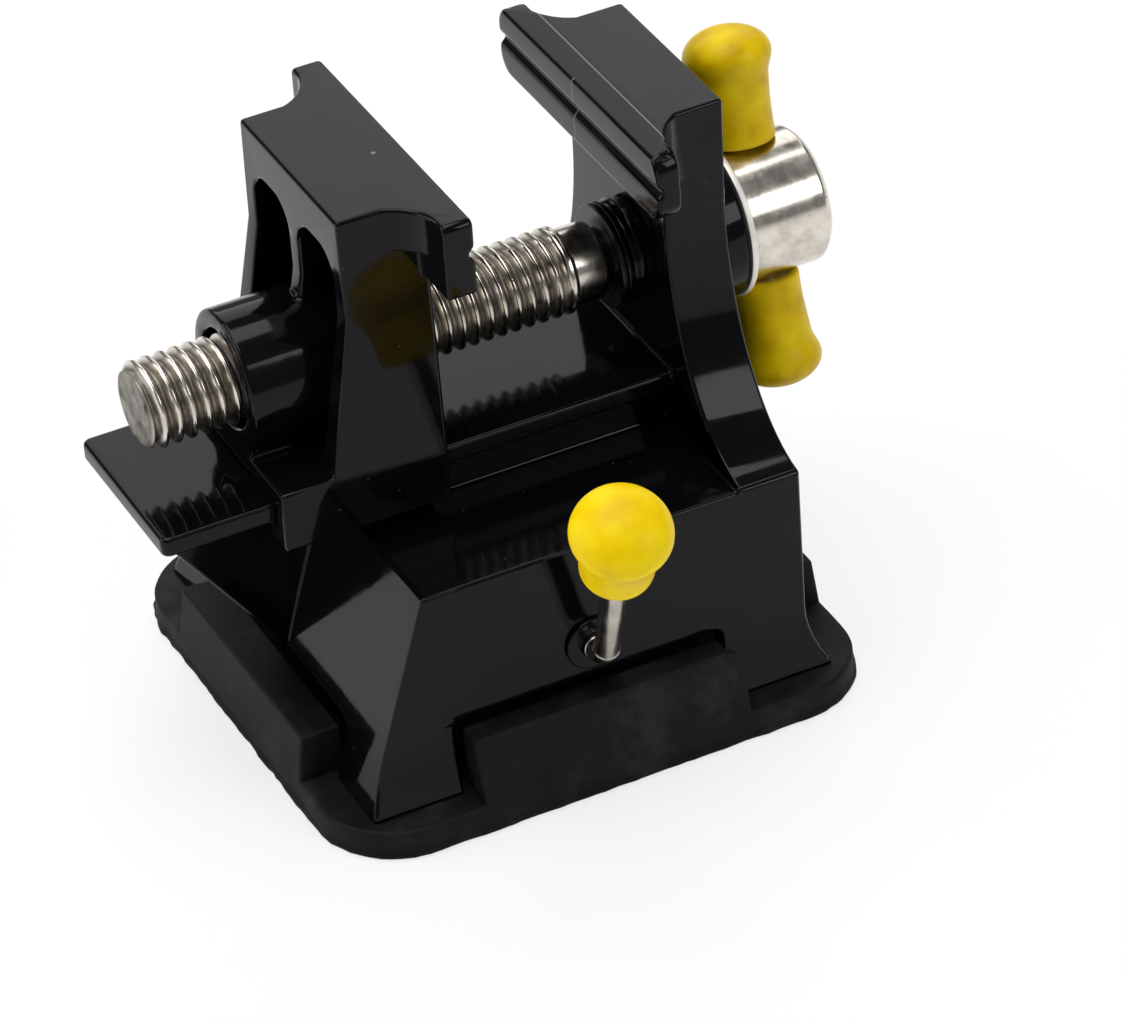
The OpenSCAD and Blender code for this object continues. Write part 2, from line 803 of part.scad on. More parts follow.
// Half outline of the screw as radius and place, from the free end
function screw_side() =
    let (
        root = thread_r - thread_depth,
        length = screw_left + thread_end - screw_bevel,
        turns = floor(length / pitch),
        first = -screw_left + screw_bevel,
        step = pitch / 8
    )
    concat(
        [[0, -screw_left], [thread_r - screw_bevel, -screw_left]],
        [for (i = [0:turns - 1])
            each [
                [thread_r, first + i * pitch],
                [thread_r, first + i * pitch + 2 * step],
                [root, first + i * pitch + 4 * step],
                [root, first + i * pitch + 6 * step],
            ]
        ],
        [
            [thread_r, first + turns * pitch],
            [thread_r, thread_end + step],
            [shank_d / 2, thread_end + 2 * step],
            [shank_d / 2, shank_end_x],
            [neck_r, shank_end_x],
            [neck_r, ring_x],
            [neck_r - ring_groove, ring_x],
            [neck_r - ring_groove, ring_x + ring_t],
            [neck_r, ring_x + ring_t],
            [neck_r, screw_right_x],
            [0, screw_right_x],
        ]
    );

// The lead screw: thread, shank, neck and the grooved seat of the ring
module lead_screw() {
    color(nickel)
        difference() {
            translate([0, 0, screw_z])
                rotate([0, 90, 0])
                    rotate_extrude()
                        polygon(screw_side());
            bar_hole(seat_gap);
        }
}

// Places what is drawn along +Z on the cross bar's line
module on_bar(side) {
    translate([bar_x, 0, screw_z])
        rotate([-bar_lean + (side > 0 ? 0 : 180), 0, 0])
            children();
}

module bar_hole(gap) {
    on_bar(1)
        translate([0, 0, -hub_r - over])
            cylinder(h = 2 * (hub_r + over), r = bar_d / 2 + gap);
}

module ring_form(x, thickness, outer_r, inner_r) {
    difference() {
        screw_rod(x, x + thickness, outer_r);
        screw_rod(x - over, x + thickness + over, inner_r);
    }
}

// The ring in the neck's groove, which stops the screw sliding out
module retaining_ring() {
    color("#2a2a2b")
        ring_form(ring_x + seat_gap, ring_t - 2 * seat_gap, ring_r, neck_r - ring_groove + seat_gap);
}

// The washer between the ring and the column
module inner_washer() {
    color("#2a2a2b")
        ring_form(inner_washer_x + seat_gap, inner_washer_t, ring_r, neck_r + seat_gap);
}

// The washer between the column and the hub
module thrust_washer() {
    color(nickel)
        ring_form(washer_x, washer_t, washer_r, neck_r + seat_gap);
}

// The hub on the screw's end, with the cross bar's hole
module screw_hub() {
    outline = [
        [0, hub_x],
        [hub_r, hub_x],
        [hub_r, hub_x + hub_l - hub_bevel],
        [hub_r - hub_bevel, hub_x + hub_l],
        [0, hub_x + hub_l],
    ];
    color(nickel)
        difference() {
            translate([0, 0, screw_z])
                rotate([0, 90, 0])
                    rotate_extrude()
                        polygon(outline);
            screw_rod(hub_x - over, screw_right_x + seat_gap, neck_r + seat_gap);
            bar_hole(seat_gap);
        }
}

// The cross bar through hub and screw
module cross_bar() {
    reach = cap_seat + cap_depth;
    color(nickel)
        on_bar(1)
            translate([0, 0, -reach])
                cylinder(h = 2 * reach, r = bar_d / 2);
}
cap_seat = hub_r + slide_gap / 2;

// A dipped cap as a solid of revolution standing on its seat
module cap_form(length, seat_r, neck_r, head_r, neck_l, head_at, bore_r, depth) {
    steps = 10;
    neck_curve = [for (i = [0:steps])
        [neck_r + (head_r - neck_r) * pow(i / steps, 2), neck_l + (head_at - neck_l) * i / steps]
    ];
    dome = [for (i = [1:steps])
        [head_r * cos(90 * i / steps), head_at + (length - head_at) * sin(90 * i / steps)]
    ];
    difference() {
        rotate_extrude()
            polygon(concat([[0, 0], [seat_r, 0]], neck_curve, dome));
        translate([0, 0, -over])
            cylinder(h = depth + over, r = bore_r);
    }
}

module bar_cap(side) {
    color(yellow)
        on_bar(side)
            translate([0, 0, cap_seat])
                cap_form(
                    cap_l, cap_seat_r, cap_neck_r, cap_head_r, cap_neck_l, cap_head_at,
                    bar_d / 2 + seat_gap, cap_depth + seat_gap
                );
}

// The cap on the cross bar's upper end
module upper_bar_cap() {
    bar_cap(1);
}

// The cap on the cross bar's lower end
module lower_bar_cap() {
    bar_cap(-1);
}

// Places what is drawn in the lever's own frame, the shaft along Y through zero
module on_lever() {
    translate([lever_x, 0, lever_z])
        rotate([0, rod_swing, 0])
            children();
}

// Places what is drawn along +Z on the rising part of the rod, from its corner
module on_rod() {
    on_lever()
        translate([0, corner_y, 0])
            rotate([rod_lean, 0, 0])
                children();
}

// The bent rod: shaft, bend and rising handle
module lever_rod() {
    color(nickel)
        difference() {
            union() {
                on_lever() {
                    translate([0, shaft_end_y, 0])
                        rotate([90, 0, 0])
                            cylinder(h = shaft_end_y - bend_y, r = rod_r);
                    translate([0, bend_y, bend_r])
                        rotate([90, 0, 90])
                            intersection() {
                                rotate_extrude()
                                    translate([bend_r, 0])
                                        circle(rod_r - bend_thin);
                                linear_extrude(2 * rod_d, center = true)
                                    polygon([
                                        [0, 0],
                                        [0, -bend_cut],
                                        [-bend_cut, -bend_cut],
                                        [-bend_cut * sin(bend_angle), -bend_cut * cos(bend_angle)],
                                    ]);
                            }
                }
                on_rod()
                    translate([0, 0, bend_reach])
                        cylinder(h = rod_rise - bend_reach + knob_depth, r = rod_r);
            }
            cam_pin_form(seat_gap);
            translate([lever_x, clip_y + clip_t, lever_z])
                rotate([90, 0, 0])
                    difference() {
                        cylinder(h = clip_t, r = rod_d);
                        translate([0, 0, -over])
                            cylinder(h = clip_t + 2 * over, r = rod_r - clip_groove);
                    }
        }
}

// The knob on the lever's rod
module lever_knob() {
    color(yellow)
        on_rod()
            translate([0, 0, rod_rise])
                cap_form(
                    knob_l, knob_seat_r, knob_neck_r, knob_head_r, knob_neck_l, knob_head_at,
                    rod_r + seat_gap, knob_depth + seat_gap
                );
}

// The pin's line runs through the shaft along the cam's offset
module cam_pin_form(gap) {
    short = cam_r - cam_offset;
    long = cam_r + cam_offset;
    translate([lever_x, 0, lever_z])
        rotate([0, -90 - cam_rest, 0])
            translate([0, 0, -short + rod_r / 2])
                cylinder(h = short + long - rod_r, r = cam_pin_d / 2 + gap);
}

// The eccentric cam on the lever's shaft
module cam() {
    color(steel)
        difference() {
            translate([cam_x, cam_w / 2, cam_z])
                rotate([90, 0, 0])
                    cylinder(h = cam_w, r = cam_r);
            translate([lever_x, cam_w / 2 + over, lever_z])
                rotate([90, 0, 0])
                    cylinder(h = cam_w + 2 * over, r = rod_r + seat_gap);
            cam_pin_form(seat_gap);
        }
}

// The pin that holds the cam on the shaft
module cam_pin() {
    color(nickel)
        cam_pin_form(0);
}

// The clip in the groove behind the bearing rib
module shaft_clip() {
    color(steel)
        translate([lever_x, clip_y + clip_t - seat_gap, lever_z])
            rotate([90, 0, 0])
                difference() {
                    cylinder(h = clip_t - 2 * seat_gap, r = clip_r);
                    translate([0, 0, -over])
                        cylinder(h = clip_t + 2 * over, r = rod_r - clip_groove + seat_gap);
                }
}

// The frame that the cam lifts and lowers
module pull_yoke() {
    height = yoke_foot + window_h + yoke_wall;
    color(steel)
        difference() {
            translate([-yoke_half, -yoke_t / 2, yoke_z])
                cube([2 * yoke_half, yoke_t, height]);
            translate([-yoke_window, -yoke_t / 2 - over, window_z])
                cube([2 * yoke_window, yoke_t + 2 * over, window_h]);
            translate([0, 0, yoke_z - over])
                cylinder(h = yoke_foot + 2 * over, r = stem_d / 2 + seat_gap);
        }
}

// The stem from the plate up into the yoke's foot
module pull_stem() {
    color(nickel)
        translate([0, 0, stem_z])
            cylinder(h = window_z - loose_gap - stem_z, r = stem_d / 2);
}

// The nut that locks the stem under the yoke
module stem_nut() {
    color(nickel)
        difference() {
            translate([0, 0, stem_z])
                cylinder(h = yoke_z - stem_z, r = stem_nut_flats / 2 / cos(30), $fn = 6);
            translate([0, 0, stem_z - over])
                cylinder(h = yoke_z - stem_z + 2 * over, r = stem_d / 2 + seat_gap);
        }
}

// The plate bonded on the pad's thick middle
module stem_plate() {
    color(nickel)
        translate([0, 0, plate_z])
            cylinder(h = plate_t, r = plate_r);
}

base_body();
suction_pad();
suction_diaphragm();
lever_bush();
moving_jaw();
jaw_nut();
lead_screw();
retaining_ring();
inner_washer();
thrust_washer();
screw_hub();
cross_bar();
upper_bar_cap();
lower_bar_cap();
lever_rod();
lever_knob();
cam();
cam_pin();
shaft_clip();
pull_yoke();
pull_stem();
stem_nut();
stem_plate();
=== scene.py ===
"""A palm-sized suction-base bench vise: black moulded body, nickel-plated screw, yellow dipped caps."""

import json
import math

import bmesh
import bpy
from mathutils import Matrix, Vector, noise


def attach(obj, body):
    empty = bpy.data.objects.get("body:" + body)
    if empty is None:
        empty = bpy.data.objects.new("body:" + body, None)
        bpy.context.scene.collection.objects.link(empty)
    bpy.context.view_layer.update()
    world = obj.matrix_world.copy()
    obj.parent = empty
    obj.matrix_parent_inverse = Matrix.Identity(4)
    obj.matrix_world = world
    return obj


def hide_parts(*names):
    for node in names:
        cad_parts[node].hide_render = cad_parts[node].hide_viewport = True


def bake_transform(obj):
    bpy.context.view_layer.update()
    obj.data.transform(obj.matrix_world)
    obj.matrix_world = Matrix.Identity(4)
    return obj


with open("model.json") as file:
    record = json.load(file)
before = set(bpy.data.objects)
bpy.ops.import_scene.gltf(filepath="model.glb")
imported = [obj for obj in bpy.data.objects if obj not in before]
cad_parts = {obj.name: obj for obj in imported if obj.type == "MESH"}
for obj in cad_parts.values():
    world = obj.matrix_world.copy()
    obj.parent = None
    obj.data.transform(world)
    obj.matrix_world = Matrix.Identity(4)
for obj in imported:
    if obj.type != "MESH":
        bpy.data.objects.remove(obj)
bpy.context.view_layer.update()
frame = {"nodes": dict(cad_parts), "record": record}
nodes = frame["nodes"]

MM = 0.001

# Sizes and places of the CAD that the scene's own pieces keep to, in millimetres
PAD_LENGTH = 58.8
PAD_WIDTH = 56.0
PAD_THICKNESS = 3.0
PAD_CORNER = 9.0
LUG_FOOT = 2.4
JAW_TOP = 62.1
SCREW_HEIGHT = 41.45
SCREW_FREE_END = -36.0
THREAD_END = 9.1
SHANK_END = 13.0
NECK_END = 33.9
THREAD_RADIUS = 4.5
THREAD_ROOT = 3.72
SHANK_RADIUS = 3.98
NECK_RADIUS = 3.0
PITCH = 1.5
GROOVE_PLACE = 13.76
GROOVE_WIDTH = 0.68
GROOVE_RADIUS = 2.5
BAR_PLACE = 30.72
BAR_LEAN = math.radians(14.4)
CAP_SEAT = 7.06
LEVER_SHAFT = (-0.5, 0.0, 14.8)
LEVER_CORNER = -26.1
LEVER_LEAN = math.radians(26.2)
LEVER_SWING = math.radians(-6.7)
KNOB_SEAT = 18.5

# Places of the painted highlights on the fixed jaw's parting line and crease, and of the pale trimmed gate
# on the moving jaw, in millimetres
PARTING_HIGHLIGHT_PLACE = (12.0, 0.8, 58.2)
PARTING_HIGHLIGHT_REACH = (1.6, 0.05, 3.6)
CREASE_HIGHLIGHT_PLACE = (15.0, 0.0, JAW_TOP)
CREASE_HIGHLIGHT_REACH = (0.04, 15.4, 0.25)
HIGHLIGHT_SOFTNESS = 0.05
GATE_PLACE = (-9.7, -1.5, JAW_TOP)
GATE_RADIUS = 0.18
GATE_SOFTNESS = 0.08

# How two masks join: where both are, and where either is
MULTIPLY = {"operation": "MULTIPLY"}
MAXIMUM = {"operation": "MAXIMUM"}

# How far the pieces' sharp edges are rounded, in millimetres
ROUNDING = {
    "base_body": 0.42,
    "moving_jaw": 0.42,
    "lever_bush": 0.18,
    "jaw_nut": 0.2,
    "retaining_ring": 0.12,
    "inner_washer": 0.1,
    "thrust_washer": 0.12,
    "screw_hub": 0.22,
    "cross_bar": 0.2,
    "lever_rod": 0.1,
    "cam": 0.2,
    "cam_pin": 0.1,
    "shaft_clip": 0.1,
    "pull_yoke": 0.25,
    "pull_stem": 0.15,
    "stem_nut": 0.15,
    "stem_plate": 0.15,
}


# Ways to build a material


def rgb(code):
    """A colour written as sRGB hex, turned to the linear values that the shader takes."""
    parts = [int(code[i : i + 2], 16) / 255 for i in (1, 3, 5)]
    return (*[c / 12.92 if c <= 0.04045 else ((c + 0.055) / 1.055) ** 2.4 for c in parts], 1)


def link(tree, node, **sources):
    """Feeds a node's inputs. Each is named, or is i and its number; a source is a socket, or a node
    whose first output is meant."""
    for name, source in sources.items():
        numbered = name[0] == "i" and name[1:].isdigit()
        socket = node.inputs[int(name[1:]) if numbered else name.replace("_", " ")]
        tree.links.new(source.outputs[0] if hasattr(source, "outputs") else source, socket)


def add(tree, kind, settings=None, **sources):
    """Adds one node. A setting is one of its own fields, one of its inputs, or a colour ramp's stops
    as (place, hex colour) pairs."""
    node = tree.nodes.new("ShaderNode" + kind)
    for name, value in (settings or {}).items():
        if name == "stops":
            band = node.color_ramp
            while len(band.elements) < len(value):
                band.elements.new(0.5)
            for element, (place, code) in zip(band.elements, value):
                element.position = place
                element.color = rgb(code)
        elif isinstance(name, str) and hasattr(node, name):
            setattr(node, name, value)
        else:
            node.inputs[name].default_value = value
    link(tree, node, **sources)
    return node


def blotches(size_mm, detail=3.0, roughness=0.5):
    """Settings of a noise whose blotches are about size_mm across."""
    return {"Scale": 1 / (size_mm * MM), "Detail": detail, "Roughness": roughness}


def stretch(low, high, out_low=0.0, out_high=1.0):
    """Settings that map one range to another, held at both ends."""
    return {"From Min": low, "From Max": high, "To Min": out_low, "To Max": out_high}


def relief(strength, depth_mm, sunk=False):
    """Settings of a bump: how strongly it shows, its height, and whether it goes into the surface."""
    return {"Strength": strength, "Distance": depth_mm * MM, "invert": sunk}


def new_material(name, settings):
    """A material with its surface shader, so set, and the piece's own coordinates in metres."""
    material = bpy.data.materials.new(name)
    material.use_nodes = True
    tree = material.node_tree
    tree.nodes.clear()
    surface = add(tree, "BsdfPrincipled", settings)
    add(tree, "OutputMaterial", None, Surface=surface)
    place = add(tree, "TexCoord").outputs["Object"]
    return material, tree, surface, place


# Materials


def line_mask(tree, axes, middle, reach):
    """One inside a thin box round a middle, with soft sides, else nothing. Both are in millimetres."""
    mask = None
    for axis, centre, half in zip("XYZ", middle, reach):
        off = add(tree, "Math", {"operation": "SUBTRACT", 1: centre * MM}, i0=axes[axis])
        off = add(tree, "Math", {"operation": "ABSOLUTE"}, i0=off)
        side = stretch(half * MM, (half + HIGHLIGHT_SOFTNESS) * MM, 1.0, 0.0)
        inside = add(tree, "MapRange", side, Value=off)
        mask = add(tree, "Math", MULTIPLY, i0=mask, i1=inside) if mask else inside
    return mask


def gate_mark_and_painted_highlights(tree, place):
    """Painted highlights down the fixed jaw's plate along its parting line and along the crease on its top,
    and the pale trimmed gate on the moving jaw's top."""
    axes = add(tree, "SeparateXYZ", None, Vector=place).outputs
    # Painted highlights: thin pale bands where the parting line's ridge and the top's crease would catch
    # the light
    parting = line_mask(tree, axes, PARTING_HIGHLIGHT_PLACE, PARTING_HIGHLIGHT_REACH)
    crease = line_mask(tree, axes, CREASE_HIGHLIGHT_PLACE, CREASE_HIGHLIGHT_REACH)
    gate_place = tuple(c * MM for c in GATE_PLACE)
    far = add(tree, "VectorMath", {"operation": "DISTANCE", 1: gate_place}, i0=place).outputs["Value"]
    edge = stretch(GATE_RADIUS * MM, (GATE_RADIUS + GATE_SOFTNESS) * MM, 1.0, 0.0)
    gate = add(tree, "MapRange", edge, Value=far)
    highlight_lines = add(tree, "Math", MAXIMUM, i0=parting, i1=crease)
    return add(tree, "Math", MAXIMUM, i0=highlight_lines, i1=gate)


def black_moulded_abs():
    """Black ABS, injection moulded in a polished tool: a deep gloss with a slow orange-peel wave,
    cloudy flow patterns that dull it in streaks, hairline handling scratches, a few specks of dust,
    the pale trimmed gate and painted highlights along the fixed jaw's parting line and crease."""
    settings = {"IOR": 1.5, "Specular IOR Level": 0.17}
    material, tree, surface, place = new_material("black_moulded_abs", settings)
    stretched = add(tree, "Mapping", {"Scale": (0.35, 1.0, 1.0)}, Vector=place)
    flow = add(tree, "TexNoise", blotches(5.0, 4.0, 0.6), Vector=stretched)
    grain = add(tree, "TexNoise", blotches(0.35, 2.0), Vector=place)
    wave = add(tree, "TexNoise", blotches(2.6, 1.0), Vector=place)
    dust_spacing = 1.6
    dust = add(tree, "TexVoronoi", {"Scale": 1 / (dust_spacing * MM), "feature": "F1"}, Vector=place)
    speck = add(tree, "MapRange", stretch(0.045, 0.07, 1.0, 0.0), Value=dust.outputs["Distance"])
    chance = add(tree, "SeparateXYZ", None, Vector=dust.outputs["Color"]).outputs["X"]
    some = add(tree, "MapRange", stretch(0.86, 0.87), Value=chance)
    specks = add(tree, "Math", MULTIPLY, i0=speck, i1=some)
    dull = add(tree, "MapRange", stretch(0.35, 0.75, 0.05, 0.12), Value=flow)
    rough = add(tree, "Math", {"operation": "MULTIPLY_ADD", 1: 0.4}, i0=specks, i2=dull)
    black = add(tree, "ValToRGB", {"stops": [(0.3, "#050507"), (0.7, "#0a0a0d")]}, Fac=flow)
    dusty = add(tree, "MixRGB", {"Color2": rgb("#3a3a3c")}, Fac=specks, Color1=black)
    # Pale grey at the trimmed gate, its own colour, and as painted highlights along the parting line and
    # the crease
    gate_and_highlights = gate_mark_and_painted_highlights(tree, place)
    gate_and_highlighted = add(tree, "MixRGB", {"Color2": rgb("#707076")}, Fac=gate_and_highlights, Color1=dusty)
    slanted = add(tree, "Mapping", {"Scale": (0.08, 1.6, 1.0), "Rotation": (0.3, 0.2, 0.7)}, Vector=place)
    hairs = add(tree, "TexNoise", blotches(0.5, 1.0), Vector=slanted)
    scratches = add(tree, "MapRange", stretch(0.66, 0.72), Value=hairs)
    low = add(tree, "Bump", relief(0.10, 0.10), Height=wave)
    fine = add(tree, "Bump", relief(0.03, 0.02), Height=grain, Normal=low)
    cut = add(tree, "Bump", relief(0.08, 0.02, sunk=True), Height=scratches, Normal=fine)
    link(tree, surface, Base_Color=gate_and_highlighted, Roughness=rough, Normal=cut)
    return material


def black_moulded_rubber():
    """Soft black rubber, moulded in a sand-blasted tool: a dry matte face with a fine grain,
    greyed in patches by chalky bloom and dust."""
    settings = {"IOR": 1.5, "Specular IOR Level": 0.15}
    material, tree, surface, place = new_material("black_moulded_rubber", settings)
    bloom = add(tree, "TexNoise", blotches(7.0, 5.0, 0.65), Vector=place)
    grain = add(tree, "TexNoise", blotches(0.28, 3.0, 0.6), Vector=place)
    pits = add(tree, "TexNoise", blotches(1.1, 2.0), Vector=place)
    greys = [(0.34, "#0a0a0b"), (0.52, "#141415"), (0.7, "#2a2a2a")]
    chalky = add(tree, "ValToRGB", {"stops": greys}, Fac=bloom)
    rough = add(tree, "MapRange", stretch(0.3, 0.8, 0.56, 0.74), Value=bloom)
    low = add(tree, "Bump", relief(0.25, 0.12), Height=pits)
    fine = add(tree, "Bump", relief(0.35, 0.05), Height=grain, Normal=low)
    link(tree, surface, Base_Color=chalky, Roughness=rough, Normal=fine)
    return material


def dipped_vinyl(name, light, mid, deep):
    """Yellow PVC, dipped and baked: a smooth satin skin, a little light going into it,
    slow ripples where it ran and a few pin pricks."""
    settings = {
        "IOR": 1.48,
        "Specular IOR Level": 0.14,
        "Subsurface Weight": 0.12,
        "Subsurface Radius": (1.0, 0.75, 0.15),
        "Subsurface Scale": 0.8 * MM,
    }
    material, tree, surface, place = new_material(name, settings)
    cloud = add(tree, "TexNoise", blotches(3.5, 3.0), Vector=place)
    prick = add(tree, "TexNoise", blotches(0.45, 2.0), Vector=place)
    ripple = add(tree, "TexNoise", blotches(2.2, 1.0), Vector=place)
    yellow = add(tree, "ValToRGB", {"stops": [(0.25, deep), (0.5, mid), (0.8, light)]}, Fac=cloud)
    rough = add(tree, "MapRange", stretch(0.3, 0.8, 0.34, 0.46), Value=cloud)
    low = add(tree, "Bump", relief(0.22, 0.15), Height=ripple)
    fine = add(tree, "Bump", relief(0.08, 0.04), Height=prick, Normal=low)
    link(tree, surface, Base_Color=yellow, Roughness=rough, Normal=fine)
    return material


def radius_about_screw(tree, place):
    """Distance from the screw's axis, in metres."""
    axis_place = (0, 0, SCREW_HEIGHT * MM)
    moved = add(tree, "VectorMath", {"operation": "SUBTRACT", 1: axis_place}, i0=place)
    across = add(tree, "VectorMath", {"operation": "MULTIPLY", 1: (0, 1, 1)}, i0=moved)
    return add(tree, "VectorMath", {"operation": "LENGTH"}, i0=across).outputs["Value"]


def dark_thread_roots(tree, place, cloud):
    """Where the roots of the thread are coloured dark brown, in patches. It ends with the thread."""
    flank = stretch((THREAD_ROOT + 0.05) * MM, (THREAD_RADIUS - 0.25) * MM, 1.0, 0.0)
    root = add(tree, "MapRange", flank, Value=radius_about_screw(tree, place))
    along = add(tree, "SeparateXYZ", None, Vector=place).outputs["X"]
    end = stretch((THREAD_END + 0.3) * MM, (THREAD_END + 0.6) * MM, 1.0, 0.0)
    threaded = add(tree, "MapRange", end, Value=along)
    root = add(tree, "Math", MULTIPLY, i0=root, i1=threaded)
    patches = add(tree, "MapRange", stretch(0.25, 0.7, 0.45, 1.0), Value=cloud)
    return add(tree, "Math", MULTIPLY, i0=root, i1=patches)


def nickel_plated_steel(name, threaded=False):
    """Mild steel, turned and nickel plated: a warm silver with fine lathe rings, small dark pin spots
    and, where it is threaded, dark brown in the thread's roots."""
    material, tree, surface, place = new_material(name, {"Metallic": 1.0})
    cloud = add(tree, "TexNoise", blotches(2.2, 4.0, 0.6), Vector=place)
    pins = add(tree, "TexNoise", blotches(0.55, 2.0), Vector=place)
    spots = add(tree, "MapRange", stretch(0.70, 0.76), Value=pins)
    rings_place = add(tree, "Mapping", {"Scale": (1.0, 0.04, 0.04)}, Vector=place)
    rings = add(tree, "TexNoise", blotches(0.14, 2.0), Vector=rings_place)
    silvers = [(0.3, "#b6aea2"), (0.55, "#d6cfc4"), (0.8, "#e8e2d8")]
    silver = add(tree, "ValToRGB", {"stops": silvers}, Fac=cloud)
    colour = add(tree, "MixRGB", {"Color2": rgb("#54493c")}, Fac=spots, Color1=silver)
    rough = add(tree, "MapRange", stretch(0.3, 0.8, 0.14, 0.27), Value=cloud)
    if threaded:
        root_darkening = dark_thread_roots(tree, place, cloud)
        # Darker brown and rougher in the thread's roots, in patches
        colour = add(tree, "MixRGB", {"Color2": rgb("#2b2219")}, Fac=root_darkening, Color1=colour)
        rough = add(tree, "Math", {"operation": "MULTIPLY_ADD", 1: 0.35}, i0=root_darkening, i2=rough)
    turned = add(tree, "Bump", relief(0.10, 0.02), Height=rings)
    pitted = add(tree, "Bump", relief(0.3, 0.03, sunk=True), Height=spots, Normal=turned)
    link(tree, surface, Base_Color=colour, Roughness=rough, Normal=pitted)
    return material


def clouded_metal(name, size_mm, detail, stops, smooth, dull):
    """A bare or plated metal whose colour and roughness drift together in soft clouds."""
    material, tree, surface, place = new_material(name, {"Metallic": 1.0})
    cloud = add(tree, "TexNoise", blotches(size_mm, detail), Vector=place)
    colour = add(tree, "ValToRGB", {"stops": stops}, Fac=cloud)
    rough = add(tree, "MapRange", stretch(0.3, 0.8, smooth, dull), Value=cloud)
    link(tree, surface, Base_Color=colour, Roughness=rough)
    return material, tree, surface, place


def zinc_plated_steel():
    """Pressed steel with bright zinc: a cooler, flatter silver, cloudy with a faint grain."""
    stops = [(0.3, "#8e9092"), (0.7, "#b2b4b5")]
    material, tree, surface, place = clouded_metal("zinc_plated_steel", 3.0, 4.0, stops, 0.32, 0.5)
    grain = add(tree, "TexNoise", blotches(0.3), Vector=place)
    link(tree, surface, Normal=add(tree, "Bump", relief(0.15, 0.02), Height=grain))
    return material


def tumbled_nickel_steel():
    """A stamped washer, barrel nickelled: bright but satin, so that its rim stays pale from every side."""
    stops = [(0.3, "#e2dfd8"), (0.7, "#f2efe9")]
    return clouded_metal("tumbled_nickel_steel", 1.6, 3.0, stops, 0.5, 0.62)[0]


def black_oxide_steel():
    """Spring steel, blackened and oiled: near black with a soft metal sheen."""
    stops = [(0.3, "#1c1c1e"), (0.75, "#3a3a3c")]
    return clouded_metal("black_oxide_steel", 1.5, 3.0, stops, 0.26, 0.42)[0]


RUBBER = black_moulded_rubber()
YELLOW = dipped_vinyl("yellow_dipped_vinyl", "#f9df06", "#f2d000", "#e3ba00")
# A darker copy of the knob's yellow for the bar's caps: painted shade, as the caps face the weak front
# light
SHADED_YELLOW = dipped_vinyl("shaded_yellow_dipped_vinyl", "#ecd004", "#d8b600", "#bf9800")

FINISH = {
    "black_moulding": black_moulded_abs(),
    "pad_rubber": RUBBER,
    "yellow_vinyl": YELLOW,
    "mustard_vinyl": SHADED_YELLOW,
    "nickel_steel": nickel_plated_steel("nickel_plated_steel"),
    "plain_steel": zinc_plated_steel(),
    "dark_steel": black_oxide_steel(),
}


# Ways to treat a piece


def dress(obj, material):
    """Gives the piece one material all over and smooth shading."""
    obj.data.materials.clear()
    obj.data.materials.append(material)
    for face in obj.data.polygons:
        face.use_smooth = True


def modify(obj, name, kind, **settings):
    """Adds one modifier, so set."""
    modifier = obj.modifiers.new(name, kind)
    for setting, value in settings.items():
        setattr(modifier, setting, value)


def soften(obj, width_mm):
    """Rounds the sharp edges of a solid, as a mould or a deburring wheel leaves them."""
    modify(obj, "weld", "WELD", merge_threshold=0.002 * MM)
    modify(obj, "flat", "DECIMATE", decimate_type="DISSOLVE", angle_limit=math.radians(0.4))
    modify(
        obj,
        "edges",
        "BEVEL",
        width=width_mm * MM,
        segments=3,
        limit_method="ANGLE",
        angle_limit=math.radians(28),
        use_clamp_overlap=False,
        miter_outer="MITER_ARC",
        loop_slide=False,
    )
    modify(obj, "split", "TRIANGULATE", ngon_method="BEAUTY")
    modify(obj, "normals", "WEIGHTED_NORMAL", keep_sharp=False, weight=60)


def show(name, data, material=None):
    """Puts a mesh, a lamp or the camera into the scene, a mesh in its material."""
    obj = bpy.data.objects.new(name, data)
    bpy.context.scene.collection.objects.link(obj)
    if material:
        dress(obj, material)
    return obj


def piece(name, mesh, body, material, replaced):
    """A new piece that rides on a body and stands for CAD nodes."""
    obj = show(name, mesh, material)
    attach(obj, body)
    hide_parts(*replaced)
    return obj


# The pieces that the CAD already has

for item in frame["record"]["subparts"]:
    dress(nodes[item["node"]], FINISH[item["material_slot"]])

dress(nodes["thrust_washer"], tumbled_nickel_steel())

for name, width in ROUNDING.items():
    soften(nodes[name], width)


# Ways to shape a mesh


def ease(t):
    """Goes from nothing to one, slowly at both ends."""
    return t * t * (3 - 2 * t)


def arc(centre, radius, start, end, steps):
    """Points along an arc, its angles in degrees."""
    points = []
    for k in range(steps + 1):
        angle = math.radians(start + (end - start) * k / steps)
        points.append((centre[0] + radius * math.cos(angle), centre[1] + radius * math.sin(angle)))
    return points


def grid_mesh(name, rows, tube=False):
    """A skin over closed rings of points. A tube's last ring joins its first; else both ends are capped."""
    count = len(rows[0])
    last = (len(rows) - 1) * count
    faces = []
    for i in range(len(rows) if tube else len(rows) - 1):
        here = i * count
        there = (i + 1) % len(rows) * count
        for j in range(count):
            k = (j + 1) % count
            faces.append((here + j, here + k, there + k, there + j))
    if not tube:
        faces.append(tuple(range(count))[::-1])
        faces.append(tuple(range(last, last + count)))
    mesh = bpy.data.meshes.new(name)
    mesh.from_pydata([point for row in rows for point in row], [], faces)
    mesh.update()
    return mesh


def lathe(name, profile, place, segments=72, wobble=None):
    """A solid turned round local +Z. The profile is (radius, height) pairs in millimetres."""
    rows = []
    for radius, height in profile:
        row = []
        for k in range(segments):
            angle = 2 * math.pi * k / segments
            reach = radius + (wobble(angle, height) if wobble else 0.0)
            row.append(place @ Vector((reach * math.cos(angle), reach * math.sin(angle), height)) * MM)
        rows.append(row)
    return grid_mesh(name, rows)


# The two dipped caps and the lever's knob


